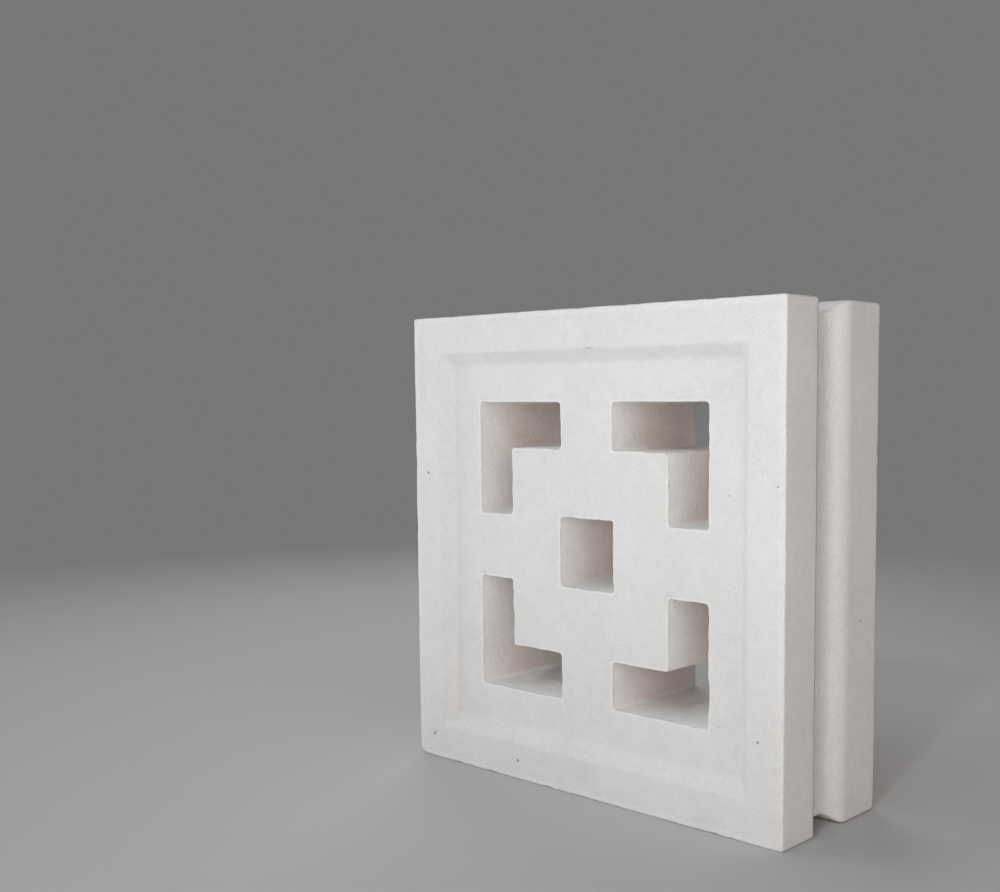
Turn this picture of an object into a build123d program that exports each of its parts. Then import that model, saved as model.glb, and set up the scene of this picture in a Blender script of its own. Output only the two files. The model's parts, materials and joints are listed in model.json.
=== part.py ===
from build123d import *
import os

# Screen block cast in one piece: a square slab with five openings through it.
# It stands on one edge, its show face towards -Y and its middle over the origin.
# All lengths are in millimetres.

# The slab
block_width = 300.0
block_height = 300.0
block_depth = 100.0
side_corner_radius = 1.8    # the four long corners, which run from front to rear
front_arris_radius = 1.2    # round the show face, left nearly sharp by the mould
rear_arris_radius = 4.0     # round the rear face, rubbed down while green

# The mortar groove, which runs round all four edges between two flanges
front_flange = 32.6         # thickness of the flange behind the show face
groove_depth = 7.2
groove_flat = 15.4          # flat bottom, from the front flange to the start of the sweep
groove_sweep = 18.7         # S-curve that brings the bottom up to the rear flange
groove_root_radius = 2.5
flange_lip_radius = 1.8

# The sunk panel, alike on the show face and on the rear face
panel_border = 24.5         # flat rim left between the slab's edge and the bevel
panel_sink = 8.0
bevel_run = 8.0             # width of the bevel as seen square on
bevel_crest_radius = 2.5
bevel_root_radius = 4.0

# The openings: four right angles, their corners outwards, round a central square
panel_margin = 24.25        # floor left between the foot of the bevel and the openings
angle_gap = 42.7            # web left between the ends of two angles
angle_width = 28.7          # clear width of a leg
centre_opening = 43.2       # side of the central square
opening_corner_radius = 2.2
opening_arris_radius = 0.8

front = -block_depth / 2
rear = block_depth / 2
pattern_inset = panel_border + bevel_run + panel_margin
pattern_width = block_width - 2 * pattern_inset
pattern_height = block_height - 2 * pattern_inset
level_leg = (pattern_width - angle_gap) / 2       # legs measured along their outer sides
upright_leg = (pattern_height - angle_gap) / 2

# Section planes through the middle: depth along the first axis, outwards along the second
section_middle = (0, 0, block_height / 2)
upright_section = Plane(origin=section_middle, x_dir=(0, 1, 0), z_dir=(1, 0, 0))
level_section = Plane(origin=section_middle, x_dir=(0, 1, 0), z_dir=(0, 0, -1))

# Plane of the show face, looking out of the slab
show_face = Plane(origin=(0, front, block_height / 2), x_dir=(1, 0, 0), z_dir=(0, -1, 0))


def grooved_section(plane, half_size):
    """Section across two opposite edges of the slab, with its arrises and mortar grooves."""
    groove_bottom = half_size - groove_depth
    groove_start = front + front_flange
    sweep_start = groove_start + groove_flat
    sweep_end = sweep_start + groove_sweep
    sweep_middle = (sweep_start + groove_sweep / 2, groove_bottom + groove_depth / 2)
    with BuildSketch(plane) as section:
        with BuildLine():
            FilletPolyline(
                (front, 0),
                (front, half_size),
                (groove_start, half_size),
                (groove_start, groove_bottom),
                (sweep_start, groove_bottom),
                radius=[front_arris_radius, flange_lip_radius, groove_root_radius],
            )
            TangentArc((sweep_start, groove_bottom), sweep_middle, tangent=(1, 0))
            TangentArc((sweep_end, half_size), sweep_middle, tangent=(-1, 0))
            FilletPolyline(
                (sweep_end, half_size),
                (rear, half_size),
                (rear, 0),
                radius=rear_arris_radius,
            )
            mirror(about=Plane.XZ)
        make_face()
    return section.sketch


def panel_section(plane, half_size):
    """Section of the hollow over the show face's sunk panel, bevelled down to its floor."""
    half_opening = half_size - panel_border
    floor = front + panel_sink
    with BuildSketch(plane) as section:
        with BuildLine():
            FilletPolyline(
                (front - bevel_crest_radius, 0),
                (front - bevel_crest_radius, half_opening + bevel_crest_radius),
                (front, half_opening + bevel_crest_radius),
                (front, half_opening),
                (floor, half_opening - bevel_run),
                (floor, 0),
                radius=[0, 0, bevel_crest_radius, bevel_root_radius],
            )
            mirror(about=Plane.XZ)
        make_face()
    return section.sketch


def crossed(section):
    """Solid with the same section from side to side and from top to bottom, mitred between."""
    with BuildPart() as solid:
        extrude(section(upright_section, block_height / 2), block_width / 2, both=True)
        extrude(
            section(level_section, block_width / 2),
            block_height / 2,
            both=True,
            mode=Mode.INTERSECT,
        )
    return solid.part


def flat_face(body, depth):
    """Flat face that lies square across the body at the depth given."""
    across = body.faces().filter_by(Axis.Y)
    return across.sort_by(lambda face: abs(face.center().Y - depth))[0]


with BuildPart() as breeze_block:
    # The slab, with the mortar groove round its four edges
    add(crossed(grooved_section))

    # The four long corners
    with BuildSketch(show_face):
        RectangleRounded(block_width, block_height, side_corner_radius)
    extrude(amount=-block_depth, mode=Mode.INTERSECT)

    # A sunk panel in the show face, and the same in the rear face
    front_panel = crossed(panel_section)
    add(front_panel, mode=Mode.SUBTRACT)
    mirror(front_panel, about=Plane.XZ, mode=Mode.SUBTRACT)

    # The five openings
    with BuildSketch(show_face) as openings:
        with Locations((pattern_width / 2, pattern_height / 2)):
            Rectangle(level_leg, angle_width, align=(Align.MAX, Align.MAX))
            Rectangle(angle_width, upright_leg, align=(Align.MAX, Align.MAX))
        mirror(about=Plane.YZ)
        mirror(about=Plane.XZ)
        Rectangle(centre_opening, centre_opening)
        fillet(openings.vertices(), opening_corner_radius)
    extrude(amount=-block_depth, mode=Mode.SUBTRACT)

    # The openings' rims, softened
    for floor in (front + panel_sink, rear - panel_sink):
        rims = flat_face(breeze_block, floor).inner_wires()
        fillet(rims.edges(), opening_arris_radius)

breeze_block.part.label = "breeze_block"

os.makedirs("parts", exist_ok=True)
export_step(breeze_block.part, "parts/breeze_block.step")
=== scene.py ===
import json
from math import pi, radians

import bmesh
import bpy
import numpy as np
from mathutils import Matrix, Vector


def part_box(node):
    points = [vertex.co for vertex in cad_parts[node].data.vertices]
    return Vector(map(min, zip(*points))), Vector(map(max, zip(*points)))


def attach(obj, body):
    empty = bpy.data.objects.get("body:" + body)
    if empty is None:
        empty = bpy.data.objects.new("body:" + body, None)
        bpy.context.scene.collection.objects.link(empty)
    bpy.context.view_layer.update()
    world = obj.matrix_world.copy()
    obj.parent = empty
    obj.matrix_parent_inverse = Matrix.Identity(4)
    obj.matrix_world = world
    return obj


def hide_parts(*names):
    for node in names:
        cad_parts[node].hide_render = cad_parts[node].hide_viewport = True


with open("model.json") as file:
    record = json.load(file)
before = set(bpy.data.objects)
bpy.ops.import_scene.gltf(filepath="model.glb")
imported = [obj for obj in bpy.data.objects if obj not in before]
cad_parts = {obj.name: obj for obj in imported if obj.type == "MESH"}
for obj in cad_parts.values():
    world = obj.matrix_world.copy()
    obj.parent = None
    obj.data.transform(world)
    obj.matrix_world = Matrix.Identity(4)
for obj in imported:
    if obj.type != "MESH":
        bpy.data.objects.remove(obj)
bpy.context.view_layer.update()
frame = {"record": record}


# The block's two faces. Both have a flat rim, and a bevel that leads down to a sunk panel. They
# were cast against smooth moulds, so they are nearly flat, and they are worked out here as height
# fields over one set of grid lines, which the walls of the openings and the slab's edges share.

low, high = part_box("breeze_block")
half_side = (high.x - low.x) / 2
middle_height = (high.z + low.z) / 2
show_face = low.y
rear_face = high.y

panel_border = 0.0245
panel_sink = 0.0080
bevel_run = 0.0080
crest_blend = 0.0011          # width over which the rim turns down into the bevel
root_blend = 0.0014           # and over which the bevel turns into the panel's floor
mitre_blend = 0.0030          # and over which two bevels meet in their mitre

pattern_half = 0.09325        # from the middle to the outer sides of the four angles
leg_length = 0.0719
leg_width = 0.0287
centre_half = 0.0216

rim_strip = 0.0060            # the faces' grids stop this far in from the slab's edges
opening_strip = 0.0025        # and this far out from the openings

# The grid is closer beside each corner, and inside and outside the bevel's foot and its crest
fine_band = 0.0034
foot_band = (0.0020, 0.0010)
crest_band = (0.0010, 0.0015)


def stepped(marks, steps):
    """Numbers that run through the marks, each stretch between two marks cut into equal steps."""
    runs = [np.linspace(a, b, n, endpoint=False) for a, b, n in zip(marks, marks[1:], steps)]
    return np.concatenate([*runs, marks[-1:]])


leg_end = pattern_half - leg_length - opening_strip
leg_inside = pattern_half - leg_width - opening_strip
leg_outside = pattern_half + opening_strip
centre_outside = centre_half + opening_strip
bevel_top = half_side - panel_border
bevel_foot = bevel_top - bevel_run
grid_end = half_side - rim_strip
half_lines = stepped(
    [0.0, leg_end, centre_outside, leg_inside - fine_band, leg_inside + fine_band,
     leg_outside - fine_band, leg_outside, bevel_foot - foot_band[0], bevel_foot + foot_band[1],
     bevel_top - crest_band[0], bevel_top + crest_band[1], grid_end - fine_band, grid_end],
    [6, 5, 11, 6, 9, 3, 6, 3, 4, 4, 4, 3],
)
grid_lines = np.concatenate([-half_lines[:0:-1], half_lines])


def rounded_least(a, b, blend):
    """The lesser of a and b, less (blend - |a - b|)^2 / (4 blend) where they are within a blend of
    each other."""
    near = np.maximum(blend - np.abs(a - b), 0.0)
    return np.minimum(a, b) - near**2 / (4 * blend)


def panel_depth(x, w):
    """Depth below the rim: the bevel's even slope, held between nothing and the sink with rounded turns.
    The slope is taken from the distance in from the nearest edge, rounded across the mitres."""
    inset = rounded_least(half_side - np.abs(x), half_side - np.abs(w), mitre_blend)
    slope = (inset - panel_border) * panel_sink / bevel_run
    return -rounded_least(0.0, -rounded_least(slope, panel_sink, root_blend), crest_blend)


def quads(rows, columns, closed):
    """Corner numbers of the cells of a grid of points, its last column joined to its first if closed."""
    number = np.arange(rows * columns).reshape(rows, columns)
    if closed:
        number = np.concatenate([number, number[:, :1]], axis=1)
    cells = [number[:-1, :-1], number[:-1, 1:], number[1:, 1:], number[1:, :-1]]
    return np.stack(cells, axis=-1).reshape(-1, 4)


def face_sheet(y, inwards):
    """A face as a height field over the grid lines, y + inwards x panel_depth, less the openings' cells."""
    x, w = np.meshgrid(grid_lines, grid_lines, indexing="ij")
    points = np.stack([x, y + inwards * panel_depth(x, w), w], axis=-1).reshape(-1, 3)
    centres = np.abs(grid_lines[1:] + grid_lines[:-1]) / 2
    long_way = (centres > leg_end) & (centres < leg_outside)
    narrow_way = (centres > leg_inside) & (centres < leg_outside)
    central = centres < centre_outside
    legs = np.outer(long_way, narrow_way) | np.outer(narrow_way, long_way)
    solid = ~(legs | np.outer(central, central)).reshape(-1)
    unworn = np.zeros(len(points))
    return points, quads(len(grid_lines), len(grid_lines), False)[solid], unworn, unworn


# The five openings: four right angles, their corners outwards, round a central square. The cores
# left their walls straight and a little rough, with small round corners and a soft rim. The walls
# are a profile carried round the opening's outline, from one face's grid to the other's.

opening_corner = 0.0022
opening_arris = 0.0008
wall_step = 0.0080            # the walls' rows are closer over this depth at each end
wall_steps = [4, 18, 4]
arris_steps = 5               # rows round an arris or another narrow quarter turn
grid_blends = [1, 0.6, 0.2]   # how square the rows are between the grid and an opening's rim
walked_radii = 3              # points are eased round a corner that is up to this many radii away
least_radius = 0.0000001
share_slack = 0.000001        # a point this little past a side's end still counts
wall_rawness = 0.7            # how rough the cores left the walls, with the groove's bottom as 1
arris_wear_width = 0.0022     # how far from an arris its wear reaches
corner_wear_width = 0.0035


def directions(corners):
    """Unit vectors along a polygon's sides, and at right angles to them, which is outwards where it
    runs clockwise."""
    along = np.roll(corners, -1, axis=0) - corners
    along = along / np.linalg.norm(along, axis=1, keepdims=True)
    return along, np.stack([-along[:, 1], along[:, 0]], axis=1)


def moved_out(corners, distance):
    """A polygon's corners with each side moved out: corner + distance x the sum of the normals of
    its two sides."""
    outward = directions(corners)[1]
    return corners + distance * (outward + np.roll(outward, 1, axis=0))


def stations(corners):
    """Where the grid lines meet a polygon's sides: the side's number, and the share of the way along it."""
    sides, shares = [], []
    for number, (start, end) in enumerate(zip(corners, np.roll(corners, -1, axis=0))):
        axis = np.argmax(np.abs(end - start))
        share = (grid_lines - start[axis]) / (end[axis] - start[axis])
        share = np.sort(share[(share > -share_slack) & (share < 1 - share_slack)])
        sides.append(np.full(len(share), number))
        shares.append(np.clip(share, 0, 1))
    return np.concatenate(sides), np.concatenate(shares)


def outline(corners, sides, shares, offset, radius):
    """Points round a polygon whose sides are moved out by offset and whose corners have the given radii.
    offset has a value for each row and radius one for each row and corner. A station keeps its share of
    its side. Near a corner its distance is walked from the middle of the arc instead."""
    count = len(corners)
    along = directions(corners)[0]
    moved = moved_out(corners, offset[:, None, None])
    start, end = moved[:, sides], moved[:, (sides + 1) % count]
    first = (shares <= 0.5)[:, None]
    corner = np.where(first, start, end)
    number = np.where(first[:, 0], sides, (sides + 1) % count)
    toward = np.where(first, along[sides], -along[sides])
    beside = np.where(first, -along[sides - 1], along[(sides + 1) % count])
    distance = np.minimum(shares, 1 - shares) * np.linalg.norm(end - start, axis=2)
    bend = np.maximum(radius[:, number], least_radius)
    walk = distance * (1 - (1 - pi / 4) / walked_radii)
    angle = np.minimum(walk / bend, pi / 4)[..., None]
    halfway = (toward + beside) * (1 - np.cos(angle) / 2**0.5)
    arc = bend[..., None] * (halfway + (toward - beside) * np.sin(angle) / 2**0.5)
    eased = np.where(distance < walked_radii * bend, bend + walk - bend * pi / 4, distance)
    on_arc = (walk < bend * pi / 4)[..., None]
    return corner + np.where(on_arc, arc, toward * eased[..., None])


def quarter(steps):
    """Sine, and one less the cosine, of angles from 0 to 90 degrees."""
    angle = np.linspace(0, pi / 2, steps + 1)
    return np.sin(angle), 1 - np.cos(angle)


def carried(corners, strip, profile, blends, radii, arrises, worn_corners, rawness):
    """A profile of (offset, y) carried round a polygon, from the show face's grid to the rear face's.
    A row's blend draws it from its rounded outline, at 0, to the square line where the grid stops,
    at 1. Its rawness is how rough the concrete was left there, from 0 to 1. Wear falls off as
    exp(-(distance / width)^2) from the profile's arrises and the outline's corners."""
    sides, shares = stations(moved_out(corners, strip))
    offset, y = profile.T
    rounded = outline(corners, sides, shares, offset, radii)
    square = outline(corners, sides, shares, np.full(len(y), strip), np.zeros_like(radii))
    flat = rounded + (square - rounded) * blends[:, None, None]
    depth = np.broadcast_to(y[:, None], flat.shape[:2])
    points = np.stack([flat[..., 0], depth, flat[..., 1]], axis=-1)
    travel = np.concatenate([[0], np.cumsum(np.hypot(*np.diff(profile, axis=0).T))])
    rows = np.linalg.norm(profile[:, None] - arrises, axis=2).argmin(axis=0)
    from_arris = np.abs(travel[:, None] - travel[rows]).min(axis=1)
    middle = flat[len(y) // 2]
    from_corner = np.linalg.norm(middle[:, None] - corners[worn_corners], axis=2).min(axis=1)
    by_row = np.exp(-((from_arris / arris_wear_width) ** 2))
    by_station = np.exp(-((from_corner / corner_wear_width) ** 2))
    wear = np.maximum(by_row[:, None], by_station) * (blends[:, None] < 1)
    raw = np.broadcast_to(rawness[:, None], wear.shape)
    return points.reshape(-1, 3), quads(len(y), len(sides), True), wear.reshape(-1), raw.reshape(-1)


def lining(corners):
    """One opening's walls, from the floor of one panel to the floor of the other. The radius of an
    outward corner grows with the profile's offset, and that of an inward one shrinks with it."""
    sine, rise = quarter(arris_steps)
    floor = show_face + panel_sink
    start = floor + opening_arris
    wall = stepped([start, start + wall_step, -start - wall_step, -start], wall_steps)
    approach = [[opening_arris, floor]] * len(grid_blends)
    rim_round = np.stack([opening_arris * (1 - sine), floor + opening_arris * rise], axis=1)
    half = np.concatenate([approach, rim_round[:-1]])
    profile = np.concatenate([half, np.stack([0 * wall, wall], axis=1), half[::-1] * [1, -1]])
    between = np.zeros(len(profile) - 2 * len(grid_blends))
    blends = np.concatenate([grid_blends, between, grid_blends[::-1]])
    along = directions(corners)[0]
    before = np.roll(along, 1, axis=0)
    turn = np.sign(before[:, 1] * along[:, 0] - before[:, 0] * along[:, 1])
    radii = opening_corner + profile[:, :1] * turn
    arrises = np.array([[0, floor], [0, -floor]])
    inner = np.flatnonzero(turn < 0) if (turn < 0).any() else np.arange(len(corners))
    rawness = wall_rawness * np.isclose(profile[:, 0], 0)
    return carried(corners, opening_strip, profile, blends, radii, arrises, inner, rawness)


near = pattern_half - leg_length
inside = pattern_half - leg_width
far = pattern_half
angle_corners = np.array(
    [[near, far], [far, far], [far, near], [inside, near], [inside, inside], [near, inside]]
)
square_corners = np.array([[-1.0, 1.0], [1.0, 1.0], [1.0, -1.0], [-1.0, -1.0]])
linings = [lining(square_corners * centre_half)]
for across in (1, -1):
    for up in (1, -1):
        turned = angle_corners * [across, up]
        linings.append(lining(turned if across == up else turned[::-1]))


# The slab's four edges: two flanges with a mortar groove between them. The groove has an upright
# wall behind the show face's flange, a flat bottom, and an S-shaped sweep up to the rear flange.
# The mould left the corners nearly sharp, and the rear arris was rubbed down while green.

side_corner = 0.0018          # the four long corners, front to rear
show_arris = 0.0012
rear_arris = 0.0040
front_flange = 0.0326
groove_front = show_face + front_flange
flange_lip = 0.0018
groove_depth = 0.0072
groove_root = 0.0025
groove_flat = 0.0154
groove_sweep = 0.0187
inner_corner = 0.0012         # the mould's own mitres, down in the groove
edge_step = 0.0006            # the first and last steps of a flat stretch, beside its roundings

# Rows along a flange and the groove's bottom, in each arc of the sweep, and round the rear arris
flange_steps = 9
flat_steps = 3
sweep_rows = 8
rear_steps = 8

# How square the rows are between the grid and the show face's arris, and then at the rear
show_blends = [1, 0.5, 0.08]
rear_blends = [0.1, 1]


def rim(corners):
    """The slab's edges: arris, flange, lip, groove wall, root, flat, S of two equal arcs, flange, arris.
    The arcs meet where the sweep is half done, so each turns by 2 atan(depth / sweep)."""
    sine, rise = quarter(arris_steps)
    wide_sine, wide_rise = quarter(rear_steps)
    turn = 2 * np.arctan(groove_depth / groove_sweep)
    bend = (groove_sweep**2 + groove_depth**2) / (4 * groove_depth)
    sweep = np.linspace(0, turn, sweep_rows)
    climb = bend * (1 - np.cos(sweep))
    flat_end = groove_front + groove_flat
    sweep_end = flat_end + groove_sweep

    def flat_run(offset, start, end, steps):
        """A flat stretch between two roundings, without its two ends."""
        y = stepped([start, start + edge_step, end - edge_step, end], [1, steps, 1])[1:-1]
        return np.stack([np.full(len(y), offset), y], axis=1)

    edge = np.concatenate([
        np.stack([-show_arris * (1 - sine), show_face + show_arris * rise], axis=1),
        flat_run(0.0, show_face + show_arris, groove_front - flange_lip, flange_steps),
        np.stack([-flange_lip * rise, groove_front - flange_lip * (1 - sine)], axis=1),
        np.stack([groove_root * (1 - sine) - groove_depth, groove_front + groove_root * rise], axis=1),
        flat_run(-groove_depth, groove_front + groove_root, flat_end, flat_steps),
        np.stack([climb - groove_depth, flat_end + bend * np.sin(sweep)], axis=1)[:-1],
        np.stack([-climb, sweep_end - bend * np.sin(sweep)], axis=1)[::-1],
        flat_run(0.0, sweep_end, rear_face - rear_arris, flange_steps),
        np.stack([-rear_arris * wide_rise, rear_face - rear_arris * (1 - wide_sine)], axis=1),
    ])
    profile = np.concatenate([[edge[0]] * len(show_blends), edge, [edge[-1]] * len(rear_blends)])
    blends = np.concatenate([show_blends, np.zeros(len(edge)), rear_blends])
    radii = np.maximum(side_corner + profile[:, :1], inner_corner) + np.zeros(4)
    arrises = np.array([[0, show_face], [0, groove_front], [0, rear_face]])
    in_groove = (profile[:, 1] > groove_front - flange_lip) & (profile[:, 1] < sweep_end)
    rawness = np.clip(-profile[:, 0] / groove_depth, 0, 1) * in_groove
    return carried(corners, -rim_strip, profile, blends, radii, arrises, np.arange(4), rawness)


# The casting's skin joins the faces, the walls and the edges into one closed surface. Handling has
# nibbled its arrises and knocked off one corner at the foot of the show face, on the left, and the
# mould's own waves show as slight unevenness. All of it only takes concrete away.

unevenness = 0.0003
uneven_cell = 0.045
nibble = 0.0014
nibble_cell = 0.0052
nibble_power = 3              # the higher, the fewer and sharper the nibbles
spared_cell = 0.028           # stretches of arris this long are nibbled more and less by turns
chip = 0.0009
chip_cell = 0.013
chip_threshold = 0.74         # chips come where their noise is above this
knocked_sides = np.array([0.0070, 0.0080, 0.0042])    # how far the lost corner reached along X, Y and Z
broken_relief = 0.0003
broken_cell = 0.0025
broken_from = 0.33            # share of the way into the lost corner where the break is fully rough
bared_from = 0.17             # and where it is fully bare
normal_rounds = 14            # rounds in which neighbouring points share out their directions
weld_distance = 0.000001


def drift(points, cell, seed):
    """Noise from 0 to 1: a random value at each corner of a cubic lattice, blended across each cell with
    the weight 3t^2 - 2t^3 along each axis."""
    size = 41
    lattice = np.random.default_rng(seed).random((size, size, size))
    place = points / cell
    base = np.floor(place).astype(int)
    share = place - base
    share = share * share * (3 - 2 * share)
    total = np.zeros(len(points))
    for corner in np.ndindex(2, 2, 2):
        x, y, z = ((base + corner) % size).T
        total += np.prod(np.where(corner, share, 1 - share), axis=1) * lattice[x, y, z]
    return total


def shared_out(vectors, pairs, rounds):
    """Unit vectors on the points, each averaged with its neighbours' along the mesh's edges, in rounds."""
    for _ in range(rounds):
        total = vectors.copy()
        np.add.at(total, pairs[:, 0], vectors[pairs[:, 1]])
        np.add.at(total, pairs[:, 1], vectors[pairs[:, 0]])
        vectors = total / np.linalg.norm(total, axis=1, keepdims=True)
    return vectors


def read_out(collection, name, width, kind=float):
    """One property of all the items of a mesh's collection, as an array with width values for each item."""
    values = np.zeros(len(collection) * width, kind)
    collection.foreach_get(name, values)
    return values.reshape(-1, width) if width > 1 else values


face_sheets = [face_sheet(show_face, 1.0), face_sheet(rear_face, -1.0)]
sheets = [*face_sheets, *linings, rim(square_corners * half_side)]
starts = np.cumsum([0] + [len(sheet[0]) for sheet in sheets[:-1]])
points = np.concatenate([sheet[0] for sheet in sheets]) + [0, 0, middle_height]
faces = np.concatenate([sheet[1] + start for sheet, start in zip(sheets, starts)])

skin = bpy.data.meshes.new("screen_block_casting")
skin.from_pydata(points.tolist(), [], faces.tolist())
for name, part in (("arris", 2), ("raw", 3)):
    values = np.concatenate([sheet[part] for sheet in sheets])
    skin.attributes.new(name, "FLOAT", "POINT").data.foreach_set("value", values)
work = bmesh.new()
work.from_mesh(skin)
bmesh.ops.remove_doubles(work, verts=work.verts, dist=weld_distance)
bmesh.ops.recalc_face_normals(work, faces=work.faces)
work.to_mesh(skin)
work.free()

points = read_out(skin.vertices, "co", 3)
pairs = read_out(skin.edges, "vertices", 2, int)
wear = read_out(skin.attributes["arris"].data, "value", 1)
inwards = -shared_out(read_out(skin.vertex_normals, "vector", 3), pairs, normal_rounds)

# The distance each point sinks: even waves all over, and nibbles and sparse chips along the arrises
nibbled = nibble * drift(points, nibble_cell, seed=2) ** nibble_power
nibbled = nibbled * drift(points, spared_cell, seed=5)
above = drift(points, chip_cell, seed=3) - chip_threshold
chipped = chip * np.clip(above / (1 - chip_threshold), 0, 1)
sunk = unevenness * drift(points, uneven_cell, seed=1) + wear * (nibbled + chipped)
points = points + inwards * sunk[:, None]

# The lost corner is cut off by the plane through its three reaches, roughened as it broke
lost = np.maximum(1 - ((points - [low.x, low.y, low.z]) / knocked_sides).sum(axis=1), 0)
slope = 1 / knocked_sides
steepness = np.linalg.norm(slope)
rough = np.minimum(lost / broken_from, 1) * broken_relief * drift(points, broken_cell, seed=4)
points = points + (lost / steepness + rough)[:, None] * slope / steepness
wear = np.maximum(wear, np.minimum(lost / bared_from, 1))

skin.vertices.foreach_set("co", points.reshape(-1))
skin.attributes["arris"].data.foreach_set("value", wear)
skin.polygons.foreach_set("use_smooth", np.ones(len(skin.polygons), bool))
facing_up = np.clip(-inwards[:, 2], 0, 1)
skin.attributes.new("facing_up", "FLOAT", "POINT").data.foreach_set("value", facing_up)
skin.update()

casting = bpy.data.objects.new("screen_block_casting", skin)
bpy.context.collection.objects.link(casting)
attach(casting, "root")
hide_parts("breeze_block")


# The concrete: white cement with a fine pale sand, dry and matt, neither painted nor sealed. Its
# skin is clouded where the mix ran against the mould, grains of sand and specks show through it,
# trapped air has left holes, and the arrises have worn down to paler, grittier concrete.

cast_tone = (*frame["record"]["materials"][0]["base_color"], 1)
dark_sand = (0.33, 0.29, 0.26, 1)
pale_sand = (0.86, 0.85, 0.83, 1)
# painted shade inside the air holes
hole_shade_tone = (0.34, 0.32, 0.30, 1)
# for smudges, and for painted shade in the pits and in one chip
smudge_and_shade_tone = (0.52, 0.50, 0.48, 1)
painted_lip_shade_tone = (0.30, 0.27, 0.25, 1)  # painted shade along the arris before the groove
painted_wall_light_tone = (0.805, 0.790, 0.778, 1)  # painted light on the openings' walls near the faces
painted_deep_bounce_tone = (0.790, 0.705, 0.665, 1)  # and a painted warm bounce deep in
painted_bottom_light_tone = (0.850, 0.850, 0.840, 1)  # and painted light on their bottoms
bared_tone = (0.80, 0.79, 0.77, 1)

cloud_size = 0.048            # across the main patches of each kind of unevenness
mottle_size = 0.0065
coarse_size = 0.0028
grain_size = 0.0010
cloud_share = 0.024           # how much lighter or darker each kind makes the concrete
mottle_share = 0.022
grain_share = 0.062
raw_share = 0.010

pale_sand_cover = 0.50        # how much each kind of mark covers of the colour under it
dark_sand_cover = 0.45
bared_cover = 0.60
pit_shade_cover = 0.45
painted_lip_shade_cover = 0.80

grain_height = 0.000014
mottle_height = 0.00005
raw_height = 0.00016
bared_height = 0.00022
pit_depth = 0.00012
hole_depth = 0.0006

arris_unevenness = 0.22       # what the coarse noise adds to an arris's wear or takes off it
bared_start = 0.45            # wear at which the skin starts to go, and at which it is gone
bared_full = 1.05
skin_roughness = 0.86
raw_roughness = 0.95
specular_level = 0.35

hole_edge = 0.6               # share of a mark's reach over which it fades out
smudge_edge = 0.8
smudge_thin = -0.6            # a smudge grows from thin to thick between these values of coarse noise
smudge_thick = 0.8
smudge_least = 0.35           # what is left of it where it is thin

pattern_reach = 0.105         # no opening reaches farther than this from the block's middle
walls_from = 0.0415           # the walls' painted light comes in between these distances from mid-thickness
walls_full = 0.0385
deep_start = -0.0300          # the painted warm bounce comes in between these depths
deep_full = -0.0040
deep_fading = 0.0240          # and goes out between these
deep_end = 0.0380
bottom_from = 0.4             # the painted light on the bottoms comes in where a wall faces up by more than this
bottom_full = 0.9
lip_reach = 0.0028            # the painted shade comes in from this far before the groove
lip_full = 0.0012
lip_fading = 0.20             # down to these shares of the groove's depth
lip_end = 0.45

# Air holes in the show face, its rims and the rear flange: x, y, z and radius
air_holes = [
    (-0.1368, -0.0500, 0.1960, 0.00115),
    (-0.1342, -0.0500, 0.0161, 0.00145),
    (-0.0534, -0.0500, 0.0123, 0.00125),
    (0.1333, -0.0500, 0.0580, 0.00095),
    (0.1500, 0.0301, 0.1163, 0.00095),
    (0.1453, -0.0500, 0.1984, 0.00065),
    (0.1420, -0.0500, 0.2857, 0.00042),
    (0.1078, -0.0420, 0.1914, 0.00048),
]

# Smudges and rubbed spots, the first of them a painted shadow of a small chip on the top bevel's crest:
# centre, reach along X, Y and Z, and strength
smudges_and_chip_shade = [
    ((0.0100, -0.0496, 0.2756), (0.0058, 0.0030, 0.0011), 1.00),
    ((0.0088, -0.0500, 0.2840), (0.0035, 0.0030, 0.0085), 0.16),
    ((0.0545, -0.0460, 0.2703), (0.0070, 0.0060, 0.0030), 0.22),
    ((0.0058, -0.0500, 0.0155), (0.0150, 0.0100, 0.0100), 0.30),
    ((0.0980, -0.0500, 0.0050), (0.0140, 0.0100, 0.0070), 0.28),
    ((-0.0300, -0.0500, 0.0180), (0.0220, 0.0100, 0.0060), 0.12),
]


def maker(tree):
    """A function that adds a node to the tree, sets its options, and links or sets its inputs by name
    or number."""
    def make(kind, sockets=None, **options):
        node = tree.nodes.new(kind)
        for name, value in options.items():
            setattr(node, name, value)
        for name, value in (sockets or {}).items():
            if isinstance(value, bpy.types.NodeSocket):
                tree.links.new(value, node.inputs[name])
            else:
                node.inputs[name].default_value = value
        return node
    return make


def shader_group(name, inputs, output):
    """A node group with named inputs and one named output: the group, the maker of its nodes, its
    inputs as they come in, and a function that sends a value out."""
    group = bpy.data.node_groups.new(name, "ShaderNodeTree")
    for label, kind, value in inputs:
        socket = group.interface.new_socket(label, in_out="INPUT", socket_type=kind)
        if value is not None:
            socket.default_value = value
    group.interface.new_socket(output, in_out="OUTPUT", socket_type="NodeSocketFloat")
    make = maker(group)
    given = make("NodeGroupInput").outputs
    return group, make, given, lambda value: make("NodeGroupOutput", {output: value})


def reckon(make, operation, *values, clamp=False):
    """One step of arithmetic on up to three values."""
    sockets = dict(enumerate(values))
    return make("ShaderNodeMath", sockets, operation=operation, use_clamp=clamp).outputs[0]


def ranged(make, value, start, end, low_value, high_value, soft=True):
    """The value carried from one range to another, with a smooth start and end if soft."""
    sockets = {"Value": value, "From Min": start, "From Max": end}
    sockets.update({"To Min": low_value, "To Max": high_value})
    kind = "SMOOTHSTEP" if soft else "LINEAR"
    return make("ShaderNodeMapRange", sockets, interpolation_type=kind, clamp=soft).outputs["Result"]


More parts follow.
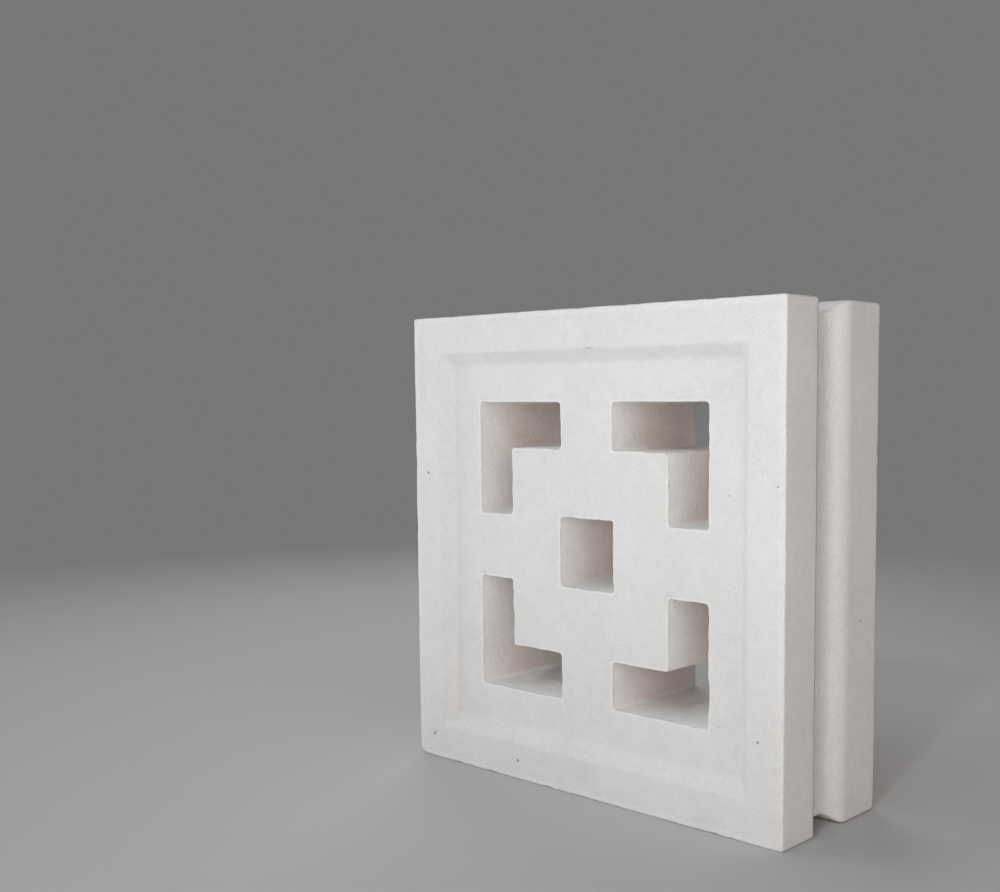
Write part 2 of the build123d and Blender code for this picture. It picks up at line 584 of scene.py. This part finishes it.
def patches_group():
    """Soft patches from about -1 to 1: fractal noise whose main patches are one size across, its
    values from 0.3 to 0.7 carried to that range."""
    group, make, given, send = shader_group(
        "patches",
        [("Position", "NodeSocketVector", None), ("Size", "NodeSocketFloat", 0.05),
         ("Detail", "NodeSocketFloat", 3.0)],
        "Patch",
    )
    scaled = make("ShaderNodeVectorMath", {0: given["Position"], 1: given["Size"]}, operation="DIVIDE")
    sockets = {"Vector": scaled.outputs[0], "Scale": 1.0, "Detail": given["Detail"]}
    noise = make("ShaderNodeTexNoise", sockets)
    send(ranged(make, noise.outputs["Fac"], 0.3, 0.7, -1.0, 1.0, soft=False))
    return group


def scattered_group():
    """Round spots, 1 in their middles: one point in each cell of a lattice, kept where its random
    number is under the share. A spot's radius is the largest one times another random number, from
    0.4 to 1."""
    group, make, given, send = shader_group(
        "scattered_spots",
        [("Position", "NodeSocketVector", None), ("Spacing", "NodeSocketFloat", 0.01),
         ("Largest", "NodeSocketFloat", 0.0005), ("Share", "NodeSocketFloat", 0.5),
         ("Edge", "NodeSocketFloat", 0.5)],
        "Spot",
    )
    scaled = make("ShaderNodeVectorMath", {0: given["Position"], 1: given["Spacing"]}, operation="DIVIDE")
    cells = make("ShaderNodeTexVoronoi", {"Vector": scaled.outputs[0], "Scale": 1.0})
    chance = make("ShaderNodeSeparateColor", {"Color": cells.outputs["Color"]})
    largest = reckon(make, "DIVIDE", given["Largest"], given["Spacing"])
    size = ranged(make, chance.outputs[1], 0.0, 1.0, 0.4, 1.0, soft=False)
    radius = reckon(make, "MULTIPLY", largest, size)
    inside = reckon(make, "SUBTRACT", radius, cells.outputs["Distance"])
    spot = reckon(make, "DIVIDE", inside, reckon(make, "MULTIPLY", radius, given["Edge"]), clamp=True)
    kept = reckon(make, "LESS_THAN", chance.outputs[0], given["Share"])
    send(reckon(make, "MULTIPLY", spot, kept))
    return group


def mark_group():
    """A mark at one place, 1 in its middle: the distance from its centre as a share of its reach, carried
    smoothly down from 1 to nothing over its edge."""
    group, make, given, send = shader_group(
        "mark_at",
        [("Position", "NodeSocketVector", None), ("Centre", "NodeSocketVector", None),
         ("Reach", "NodeSocketVector", None), ("Edge", "NodeSocketFloat", 0.5)],
        "Mark",
    )
    away = make("ShaderNodeVectorMath", {0: given["Position"], 1: given["Centre"]}, operation="SUBTRACT")
    shares = make("ShaderNodeVectorMath", {0: away.outputs[0], 1: given["Reach"]}, operation="DIVIDE")
    distance = make("ShaderNodeVectorMath", {0: shares.outputs[0]}, operation="LENGTH").outputs["Value"]
    full = reckon(make, "SUBTRACT", 1.0, given["Edge"])
    send(ranged(make, distance, full, 1.0, 1.0, 0.0))
    return group


concrete = bpy.data.materials.new("cast_concrete")
concrete.use_nodes = True
skin.materials.append(concrete)
make = maker(concrete.node_tree)
finish = concrete.node_tree.nodes["Principled BSDF"]
position = make("ShaderNodeTexCoord").outputs["Object"]
arris = make("ShaderNodeAttribute", attribute_name="arris").outputs["Fac"]
raw = make("ShaderNodeAttribute", attribute_name="raw").outputs["Fac"]
facing_up = make("ShaderNodeAttribute", attribute_name="facing_up").outputs["Fac"]


def placed(group, **values):
    """A node group placed in the concrete, reading the position, with its other inputs as given."""
    return make("ShaderNodeGroup", {"Position": position, **values}, node_tree=group).outputs[0]


def strongest(values):
    """The greatest of several values."""
    total = values[0]
    for value in values[1:]:
        total = reckon(make, "MAXIMUM", total, value)
    return total


def toned(under, over, factor):
    """One colour laid over another."""
    mix = make("ShaderNodeMix", {"Factor": factor, 6: under, 7: over}, data_type="RGBA")
    return mix.outputs[2]


patches = patches_group()
scattered = scattered_group()
mark = mark_group()

cloud = placed(patches, Size=cloud_size, Detail=3.0)
mottle = placed(patches, Size=mottle_size, Detail=2.0)
grain = placed(patches, Size=grain_size, Detail=2.0)
coarse = placed(patches, Size=coarse_size, Detail=3.0)

dark_grains = placed(scattered, Spacing=0.0042, Largest=0.00034, Share=0.55, Edge=0.7)
pale_grains = placed(scattered, Spacing=0.0031, Largest=0.00036, Share=0.6, Edge=0.7)
pin_holes = placed(scattered, Spacing=0.0125, Largest=0.0006, Share=0.3, Edge=0.5)
raw_pits = placed(scattered, Spacing=0.0048, Largest=0.0009, Share=0.5, Edge=0.6)
raw_pits = reckon(make, "MULTIPLY", raw_pits, raw)

named_holes = [
    placed(mark, Centre=(x, y, z), Reach=(radius, radius, radius), Edge=hole_edge)
    for x, y, z, radius in air_holes
]
holes = strongest([pin_holes, *named_holes])
smears = [
    reckon(make, "MULTIPLY", placed(mark, Centre=centre, Reach=reach, Edge=smudge_edge), strength)
    for centre, reach, strength in smudges_and_chip_shade
]
patchy = ranged(make, coarse, smudge_thin, smudge_thick, smudge_least, 1.0)
smudged_and_chip_shade = reckon(make, "MULTIPLY", strongest(smears), patchy)

# An arris is bared where its wear is above an uneven threshold
uneven = reckon(make, "MULTIPLY_ADD", coarse, arris_unevenness, arris)
bared = ranged(make, uneven, bared_start, bared_full, 0.0, 1.0)

# The openings' walls carry painted light: paler by the faces, a painted warm bounce deep in, and
# palest on their bottoms. It stands in for light from what stood round the block, which is left
# out. The walls are the only surface in the pattern between the panels' floors.
centred = make("ShaderNodeVectorMath", {0: position, 1: (0, 0, middle_height)}, operation="SUBTRACT")
apart = make("ShaderNodeVectorMath", {0: centred.outputs[0]}, operation="ABSOLUTE")
away = make("ShaderNodeSeparateXYZ", {0: apart.outputs[0]}).outputs
farthest = reckon(make, "MAXIMUM", away["X"], away["Z"])
painted_wall_light = ranged(make, away["Y"], walls_from, walls_full, 0.0, 1.0)
painted_wall_light = reckon(make, "MULTIPLY", painted_wall_light, reckon(make, "LESS_THAN", farthest, pattern_reach))
depth = make("ShaderNodeSeparateXYZ", {0: position}).outputs["Y"]
painted_deep_bounce = ranged(make, depth, deep_start, deep_full, 0.0, 1.0)
painted_deep_bounce = reckon(make, "MULTIPLY", painted_deep_bounce, ranged(make, depth, deep_fading, deep_end, 1.0, 0.0))
painted_bottom_light = ranged(make, facing_up, bottom_from, bottom_full, 0.0, 1.0)

# A dark line of painted shade runs along the arris between the flange and the groove.
lip = ranged(make, depth, groove_front - lip_reach, groove_front - lip_full, 0.0, 1.0)
lip = reckon(make, "MULTIPLY", lip, reckon(make, "LESS_THAN", depth, groove_front + edge_step))
lip = reckon(make, "MULTIPLY", lip, ranged(make, raw, lip_fading, lip_end, 1.0, 0.0))

shade = reckon(make, "MULTIPLY_ADD", cloud, cloud_share, 1.0)
shade = reckon(make, "MULTIPLY_ADD", mottle, mottle_share, shade)
shade = reckon(make, "MULTIPLY_ADD", grain, grain_share, shade)
shade = reckon(make, "MULTIPLY_ADD", raw, -raw_share, shade)
painted_light_on_walls = toned(toned(painted_wall_light_tone, painted_deep_bounce_tone, painted_deep_bounce), painted_bottom_light_tone, painted_bottom_light)
ground = toned(cast_tone, painted_light_on_walls, painted_wall_light)
ground = make("ShaderNodeVectorMath", {0: ground, "Scale": shade}, operation="SCALE").outputs[0]
colour = toned(ground, pale_sand, reckon(make, "MULTIPLY", pale_grains, pale_sand_cover))
colour = toned(colour, dark_sand, reckon(make, "MULTIPLY", dark_grains, dark_sand_cover))
# Smudges, and the painted shadow of a chip on the top bevel's crest
colour = toned(colour, smudge_and_shade_tone, smudged_and_chip_shade)
colour = toned(colour, bared_tone, reckon(make, "MULTIPLY", bared, bared_cover))
# Painted shade in the pits of the raw walls and the groove
colour = toned(colour, smudge_and_shade_tone, reckon(make, "MULTIPLY", raw_pits, pit_shade_cover))
colour = toned(colour, painted_lip_shade_tone, reckon(make, "MULTIPLY", lip, painted_lip_shade_cover))
# Painted shade darkens the air holes
colour = toned(colour, hole_shade_tone, holes)

# Heights in metres: grains and mottles, coarser on raw walls and bared arrises, less the pits and holes
raw_relief = reckon(make, "MULTIPLY", reckon(make, "MULTIPLY", coarse, raw), raw_height)
bared_relief = reckon(make, "MULTIPLY", reckon(make, "MULTIPLY", coarse, bared), bared_height)
height = reckon(make, "MULTIPLY_ADD", grain, grain_height, raw_relief)
height = reckon(make, "MULTIPLY_ADD", mottle, mottle_height, height)
height = reckon(make, "ADD", height, bared_relief)
height = reckon(make, "MULTIPLY_ADD", strongest([dark_grains, raw_pits]), -pit_depth, height)
height = reckon(make, "MULTIPLY_ADD", holes, -hole_depth, height)
relief = make("ShaderNodeBump", {"Height": height, "Distance": 1.0, "Strength": 1.0})

roughness = ranged(make, strongest([bared, raw]), 0.0, 1.0, skin_roughness, raw_roughness)
concrete.node_tree.links.new(colour, finish.inputs["Base Color"])
concrete.node_tree.links.new(roughness, finish.inputs["Roughness"])
concrete.node_tree.links.new(relief.outputs["Normal"], finish.inputs["Normal"])
finish.inputs["Specular IOR Level"].default_value = specular_level


# The floor that the block stands on: a plain pale sheet of paper, much larger than the view. To the
# camera it fades with distance into a grey backdrop, so that no horizon shows.

floor_reach = 8.0
paper_roughness = 0.9
floor_tone = (0.48, 0.48, 0.48, 1)
bounce_tone = (0.70, 0.70, 0.70, 1)       # what the block and the lamps see of it
backdrop_tone = (0.185, 0.185, 0.185, 1)
fade_start = 0.30             # distances from the block over which it fades
fade_end = 1.45


def seen_directly(make):
    """1 for the rays that show the floor or backdrop itself, to the camera or through gloss or glass."""
    path = make("ShaderNodeLightPath").outputs
    seen = reckon(make, "MAXIMUM", path["Is Camera Ray"], path["Is Glossy Ray"])
    return reckon(make, "MAXIMUM", seen, path["Is Transmission Ray"])


paper = bpy.data.materials.new("plain_paper")
paper.use_nodes = True
sheet = paper.node_tree.nodes["Principled BSDF"]
output = paper.node_tree.nodes["Material Output"]
make_paper = maker(paper.node_tree)
seen = seen_directly(make_paper)
tone = make_paper("ShaderNodeMix", {"Factor": seen, 6: bounce_tone, 7: floor_tone}, data_type="RGBA")
place = make_paper("ShaderNodeTexCoord").outputs["Object"]
distance = make_paper("ShaderNodeVectorMath", {0: place}, operation="LENGTH").outputs["Value"]
far_off = ranged(make_paper, distance, fade_start, fade_end, 0.0, 1.0)
faded = reckon(make_paper, "MULTIPLY", seen, far_off)
clear = make_paper("ShaderNodeBsdfTransparent")
blend = make_paper("ShaderNodeMixShader", {0: faded, 1: sheet.outputs[0], 2: clear.outputs[0]})
paper.node_tree.links.new(tone.outputs[2], sheet.inputs["Base Color"])
paper.node_tree.links.new(blend.outputs[0], output.inputs["Surface"])
sheet.inputs["Roughness"].default_value = paper_roughness

floor_mesh = bpy.data.meshes.new("pale_floor")
floor_corners = floor_reach * np.array([[-1, -1, 0], [1, -1, 0], [1, 1, 0], [-1, 1, 0]])
floor_mesh.from_pydata(floor_corners.tolist(), [], [(0, 1, 2, 3)])
floor_mesh.materials.append(paper)
floor = bpy.data.objects.new("pale_floor", floor_mesh)
bpy.context.collection.objects.link(floor)

# The backdrop shows behind it, and lights nothing
world = bpy.data.worlds.new("backdrop")
bpy.context.scene.world = world
world.use_nodes = True
backdrop = world.node_tree.nodes["Background"].inputs
backdrop["Color"].default_value = backdrop_tone
world.node_tree.links.new(seen_directly(maker(world.node_tree)), backdrop["Strength"])


# The lamps: a small key lamp high in front, which draws the shadows in the openings, another small
# one on the camera's side, and broad soft ones above and all round. A white board on the floor before
# the block throws light up.

middle = Vector((0, 0, middle_height))


def lamp(name, place, facing, width, depth, watts, colour):
    """A rectangular lamp of the given size, turned so that it shines along facing."""
    data = bpy.data.lights.new(name, "AREA")
    data.shape = "RECTANGLE"
    data.size = width
    data.size_y = depth
    data.energy = watts
    data.color = colour
    piece = bpy.data.objects.new(name, data)
    piece.location = place
    piece.rotation_euler = Vector(facing).to_track_quat("-Z", "Y").to_euler()
    piece.visible_camera = False
    bpy.context.collection.objects.link(piece)


def lamp_round(name, direction, distance, width, depth, watts, colour):
    """A lamp at a distance from the block's middle, aimed at it."""
    away = Vector(direction).normalized() * distance
    lamp(name, middle + away, -away, width, depth, watts, colour)


# Each lamp's direction from the block's middle, its distance, width and depth, its watts and colour
lamp_round("key_lamp", (0.36, -1.0, 0.85), 2.4, 0.15, 0.15, 7.1, (0.88, 0.97, 1.0))
lamp_round("upper_lamp", (0.1, -0.6, 1.0), 2.8, 1.2, 1.2, 7.4, (0.89, 0.97, 1.0))
lamp_round("eye_lamp", (0.7, -1.0, 0.25), 1.1, 0.25, 0.25, 2.1, (1.0, 0.92, 0.89))
lamp_round("front_right_lamp", (0.9, -1.0, 0.3), 1.6, 1.2, 1.2, 3.5, (1.0, 0.87, 0.83))
lamp_round("right_lamp", (1.0, -0.3, 0.3), 1.4, 0.8, 0.8, 3.6, (1.0, 0.97, 0.96))
lamp_round("left_lamp", (-1.0, -0.5, 0.2), 3.0, 2.4, 2.4, 56.5, (0.91, 0.96, 1.0))
lamp_round("rear_lamp", (-1.0, 0.8, 0.5), 1.8, 1.2, 1.2, 12.5, (1.0, 0.95, 0.92))
lamp_round("overhead_lamp", (0.0, 0.0, 1.0), 1.6, 1.2, 1.2, 2.6, (1.0, 1.0, 1.0))
lamp("floor_board", (0.15, -0.62, 0.003), (0, 0, 1), 1.2, 0.7, 2.9, (0.91, 0.97, 1.0))


# The camera stands to the right of the block, a little above its middle.

camera_data = bpy.data.cameras.new("camera")
camera_data.sensor_width = 36.0
camera_data.lens = 45.165
camera_data.shift_x = -0.0954
camera_data.shift_y = 0.0587
camera = bpy.data.objects.new("camera", camera_data)
camera.location = (0.51580, -0.60776, 0.24544)
camera.rotation_euler = (radians(85.171), radians(0.254), radians(41.877))
bpy.context.collection.objects.link(camera)
bpy.context.scene.camera = camera
bpy.context.scene.view_settings.view_transform = "Standard"
